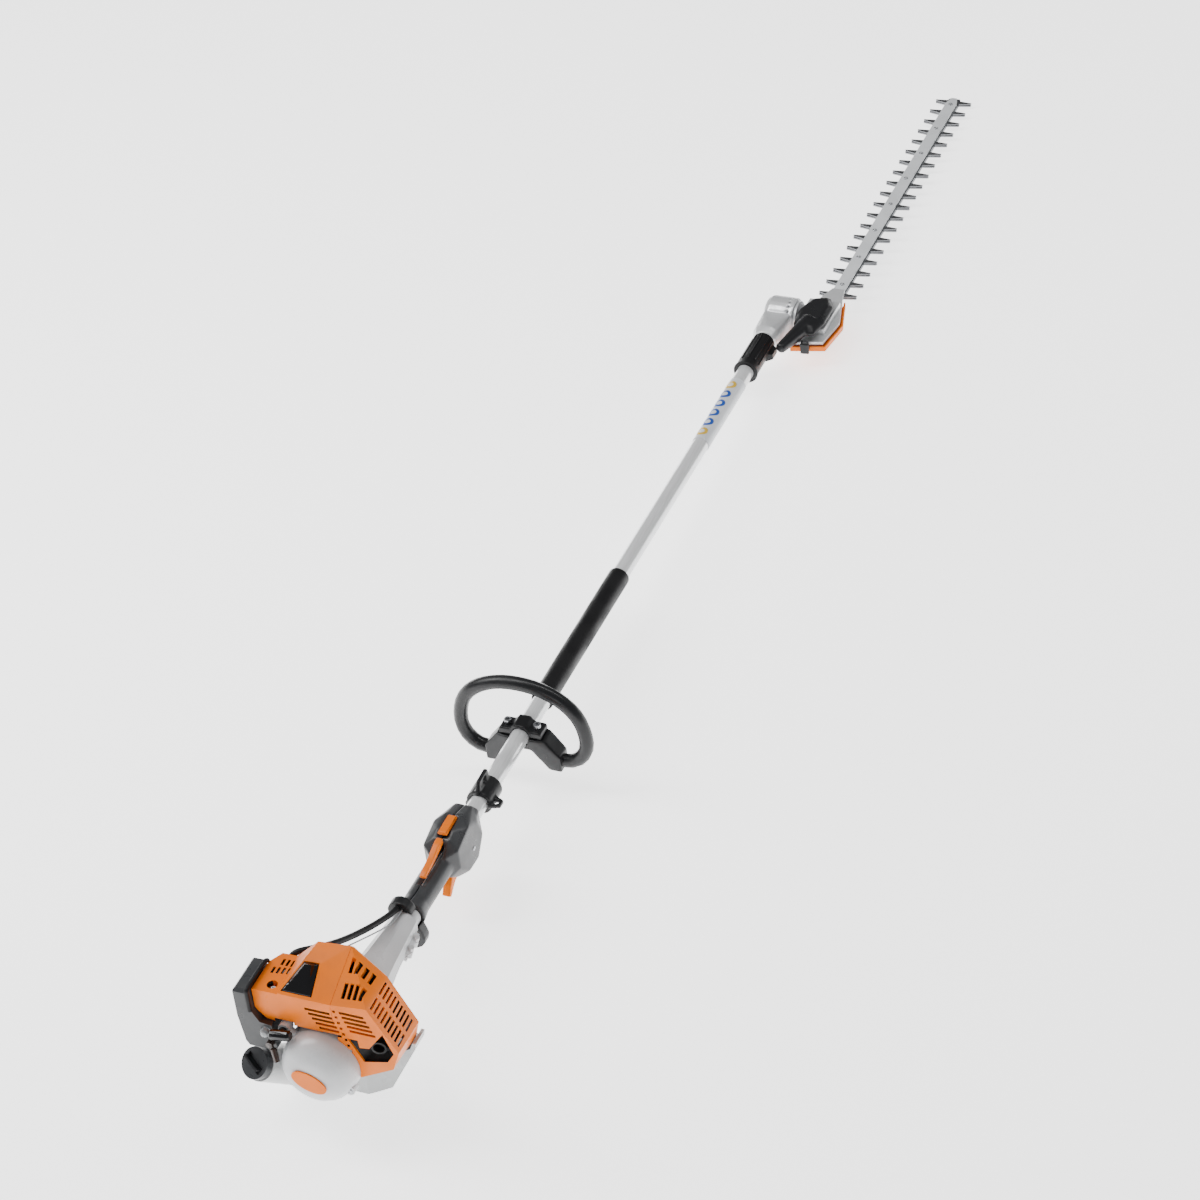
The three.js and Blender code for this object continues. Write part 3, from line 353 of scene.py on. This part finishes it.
def loose_piece(name, mesh, body, slot, paint=None):
    """A piece added to a body, with the slot's own finish or another one."""
    obj = bpy.data.objects.new(name, mesh)
    bpy.context.scene.collection.objects.link(obj)
    mesh.materials.append((paint or PAINTS[slot]).material)
    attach(obj, body)
    return obj


def trim_underside(obj, depth_mm):
    """Takes the hidden underside of a button up, so that it clears its rounded pocket when pressed."""
    heights = [UP.dot(vertex.co) for vertex in obj.data.vertices]
    underside = min(heights) + 0.0003
    for vertex, height in zip(obj.data.vertices, heights):
        if height < underside:
            vertex.co += UP * depth_mm / 1000


def paint_inside_shade(obj, centre, paint, least=0.28):
    """Gives the faces that look inwards a second, dark finish: painted shade for the dark inside of the shell,
    seen through its slots.

    The least is how far a face has to turn towards the centre, as a cosine.
    """
    mesh = obj.data
    mesh.materials.append(paint.material)
    middle = Vector(centre)
    for face in mesh.polygons:
        inward = face.normal.dot((middle - face.center).normalized())
        if inward > least:
            face.material_index = 1


make_camera()
make_studio()

SWEPT_NODES = {"throttle_conduit"}
looks = {}
for node in frame["nodes"]:
    if node not in SWEPT_NODES:
        rounding_mm = ROUNDING_MM.get(node, ROUNDING_DEFAULT_MM)
        looks[node] = finished(node, rounding_mm, SMOOTH_DEG.get(node, SMOOTH_DEFAULT_DEG))
trim_underside(looks["stop_button"], 1.6)
# painted shade: the inside of the hood and of the muffler guard is black, standing in for the shade seen through
# their slots
for shell in ("engine_hood", "muffler_guard"):
    paint_inside_shade(looks[shell], at(25, 70, 55), PAINTS["black"])
# painted shade: the muffler, cylinder and crankcase, seen only through the slots, are near-black, standing in for
# the shade inside the engine
painted_shade = moulded("painted_shade", (0.010, 0.010, 0.010), 0.6, grain=0.0003)
for inner in ("muffler", "cylinder", "crankcase"):
    looks[inner].data.materials[0] = painted_shade.material


# ---- fittings too small for the solids ----------------------------------------------------------------
def lathed(name, profile_mm, sides):
    """Turned mesh about +Z from (radius, height) pairs in millimetres."""
    mesh = bpy.data.meshes.new(name)
    work = bmesh.new()
    rings = []
    for radius, height in profile_mm:
        if radius < 1e-6:
            rings.append([work.verts.new((0, 0, height / 1000))])
            continue
        ring = []
        for k in range(sides):
            turn = 2 * math.pi * k / sides
            spot = (radius / 1000 * math.cos(turn), radius / 1000 * math.sin(turn), height / 1000)
            ring.append(work.verts.new(spot))
        rings.append(ring)
    for low, high in zip(rings, rings[1:]):
        for k in range(sides):
            n = (k + 1) % sides
            corners = [low[k % len(low)], low[n % len(low)], high[n % len(high)], high[k % len(high)]]
            unique = list(dict.fromkeys(corners))
            if len(unique) > 2:
                work.faces.new(unique)
    bmesh.ops.recalc_face_normals(work, faces=work.faces)
    for face in work.faces:
        face.smooth = True
    work.to_mesh(mesh)
    work.free()
    return mesh


def stand(obj, spot, outward):
    """Stands a turned mesh on a point with its +Z outward."""
    turn = Vector(outward).to_track_quat("Z", "Y").to_matrix().to_4x4()
    obj.matrix_world = Matrix.Translation(spot) @ turn


def screw(name, spot, outward, body, radius=3.2, height=1.6, recess=1.5):
    """Pan-head screw with a round recess; its sizes are in millimetres."""
    profile = [(0, height * 0.35), (recess * 0.8, height * 0.4), (recess, height), (radius * 0.7, height),
               (radius * 0.95, height * 0.65), (radius, 0.0), (radius * 0.95, -0.4), (0, -0.4)]
    mesh = lathed(name, profile, 24)
    obj = bpy.data.objects.new(name, mesh)
    stand(obj, spot, outward)
    bpy.context.scene.collection.objects.link(obj)
    mesh.materials.append(PAINTS["steel"].material)
    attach(obj, body)


def swept(name, points_mm, radius_mm, body, slot, paint=None, sides=10):
    """Round strand along a smooth curve through points given along the machine."""
    curve = bpy.data.curves.new(name, "CURVE")
    curve.dimensions = "3D"
    curve.bevel_depth = radius_mm / 1000
    curve.bevel_resolution = sides // 4
    curve.use_fill_caps = True
    line = curve.splines.new("NURBS")
    line.points.add(len(points_mm) - 1)
    for point, spot in zip(line.points, points_mm):
        point.co = (*at(*spot), 1)
    line.order_u = 3
    line.use_endpoint_u = True
    obj = bpy.data.objects.new(name, curve)
    bpy.context.scene.collection.objects.link(obj)
    bpy.context.view_layer.update()
    mesh = bpy.data.meshes.new_from_object(obj.evaluated_get(bpy.context.evaluated_depsgraph_get()))
    bpy.data.objects.remove(obj)
    for face in mesh.polygons:
        face.use_smooth = True
    mesh.name = name
    return loose_piece(name, mesh, body, slot, paint)


BLADE_X_MM = 64
BLADE_SCREWS = 8
BLADE_SCREW_START_MM = 1828
BLADE_SCREW_STEP_MM = 82
BLADE_BAR_TOP_MM = -2.6
SLEEVE_RIBS = 5
SLEEVE_RIB_STEP_DEG = 35
SLEEVE_R_MM = 17.4
SLEEVE_STATIONS_MM = (1572, 1584, 1620, 1636)


def add_screws():
    back = toward(0, -1, 0)
    top = toward(0, 0, 1)
    for n in range(BLADE_SCREWS):
        y = BLADE_SCREW_START_MM + BLADE_SCREW_STEP_MM * n
        screw(f"guard_screw_{n}", at(BLADE_X_MM, y, BLADE_BAR_TOP_MM), top, "cutter_head", 3.6, 1.8, 1.7)
    screw("deck_screw", at(-60, 52, 84), top, "machine", 5.2, 2.0, 2.4)
    screw("starter_screw_right", at(40, 20, -30), back, "machine", 4.4, 2.2, 2.0)
    screw("starter_screw_left", at(-38, 24, -44), back, "machine", 4.4, 2.2, 2.0)
    screw("shell_screw", at(25, 446, -8), toward(1, 0, 0), "machine", 3.2, 1.2, 1.6)


def add_filter_seal():
    """Black seal between the filter cover and the hood."""
    route = [(-83.4, 27.6, 64), (-83.6, 27.6, 94), (-84, 30, 97.6),
             (-84, 60, 97.6), (-84, 86, 97.6), (-84, 88, 92)]
    swept("filter_seal", route, 3.0, "machine", "rubber")


def add_sleeve_ribs():
    """Ribs along the rubber sleeve of the cutter head."""
    for n in range(SLEEVE_RIBS):
        turn = math.radians(-2 * SLEEVE_RIB_STEP_DEG + SLEEVE_RIB_STEP_DEG * n)
        x = SLEEVE_R_MM * math.sin(turn)
        z = SLEEVE_R_MM * math.cos(turn)
        route = [(x, y, z) for y in SLEEVE_STATIONS_MM]
        swept(f"sleeve_rib_{n}", route, 1.3, "machine", "rubber")


add_screws()
add_filter_seal()
add_sleeve_ribs()


def heat_shield():
    """Near-black dish behind the exhaust mouth of the guard: painted shade for the dark recess there."""
    rim = [(37, 44), (56, 46), (70, 35), (89, 65), (105, 33), (94, 13), (58, 4)]
    centre = Vector((74, 0, 30))
    mesh = bpy.data.meshes.new("heat_shield")
    work = bmesh.new()
    rings = []
    for depth, share in ((41.4, 1.0), (46.0, 0.86), (52.5, 0.62), (54.0, 0.3)):
        spots = [centre.lerp(Vector((x, 0, z)), share) for x, z in rim]
        rings.append([work.verts.new(at(spot.x, depth, spot.z)) for spot in spots])
    for low, high in zip(rings, rings[1:]):
        for k in range(len(rim)):
            work.faces.new([low[k], low[k - 1], high[k - 1], high[k]])
    work.faces.new(rings[-1])
    bmesh.ops.recalc_face_normals(work, faces=work.faces)
    work.to_mesh(mesh)
    work.free()
    # the dish takes the near-black painted shade
    dish = loose_piece("heat_shield", mesh, "machine", "black", painted_shade)
    plate = dish.modifiers.new("plate", "SOLIDIFY")
    plate.thickness = 0.0006


def throttle_cable():
    """Throttle conduit on the route of its solid, and the earth lead beside it."""
    route = [(-7, 282.4, 24), (-8, 272, 26), (-12, 250, 32), (-19, 215, 44), (-28, 175, 61),
             (-38, 145, 76), (-48, 124, 88), (-58, 114, 90), (-66, 111, 82), (-68, 110, 72)]
    conduit = swept("throttle_sheath", route, 4.2, "machine", "rubber", sides=16)
    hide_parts("throttle_conduit")
    lead = [(-1, 284, 21.6), (-1, 268, 22.4), (-2, 245, 29), (-5, 215, 43),
            (-11, 178, 60), (-17, 140, 78), (-20, 118, 92), (-22, 108, 102)]
    sheath = moulded("lead_sheath", (0.25, 0.26, 0.27), 0.4)
    swept("earth_lead", lead, 1.0, "machine", "rubber", sheath)


heat_shield()
throttle_cable()


# ---- label on the pole: plain coloured rings on a pale film ---------------------------------------------
LABEL_R_MM = 13.5
LABEL_TURN_DEG = -14
LABEL_START_MM = 1376
LABEL_STEP_MM = 25
LABEL_MARKS = 6
DISC_SPOKES = 28
DISC_RINGS = 4


def wrapped_disc(name, along, turn_deg, radius, lift, paint):
    """A thin disc laid round the pole, in millimetres; turn_deg runs from straight up towards the right."""
    mesh = bpy.data.meshes.new(name)
    work = bmesh.new()
    pole_r = LABEL_R_MM + lift
    rings = []
    for ring in range(1, DISC_RINGS + 1):
        reach = radius * ring / DISC_RINGS
        rings.append([])
        for k in range(DISC_SPOKES):
            around = 2 * math.pi * k / DISC_SPOKES
            turn = math.radians(turn_deg) + reach * math.sin(around) / pole_r
            y = along + reach * math.cos(around)
            rings[-1].append(work.verts.new(at(pole_r * math.sin(turn), y, pole_r * math.cos(turn))))
    work.faces.new(rings[0])
    for low, high in zip(rings, rings[1:]):
        for k in range(DISC_SPOKES):
            work.faces.new([low[k], low[k - 1], high[k - 1], high[k]])
    for face in work.faces:
        face.smooth = True
    work.to_mesh(mesh)
    work.free()
    shell = loose_piece(name, mesh, "machine", "label", paint)
    thick = shell.modifiers.new("film", "SOLIDIFY")
    thick.thickness = 0.0001


def add_label():
    """A row of rings, each a coloured disc with a smaller white one over it."""
    blue_ink = moulded("blue_ink", (0.02, 0.09, 0.42), 0.35)
    yellow_ink = moulded("yellow_ink", (0.75, 0.48, 0.05), 0.35)
    white_ink = moulded("white_ink", (0.80, 0.82, 0.85), 0.35)
    for n in range(LABEL_MARKS):
        ink = yellow_ink if n in (0, LABEL_MARKS - 1) else blue_ink
        y = LABEL_START_MM + LABEL_STEP_MM * n
        wrapped_disc(f"label_disc_{n}", y, LABEL_TURN_DEG, 9.5, 0.12, ink)
        wrapped_disc(f"label_centre_{n}", y, LABEL_TURN_DEG, 4.6, 0.26, white_ink)


add_label()
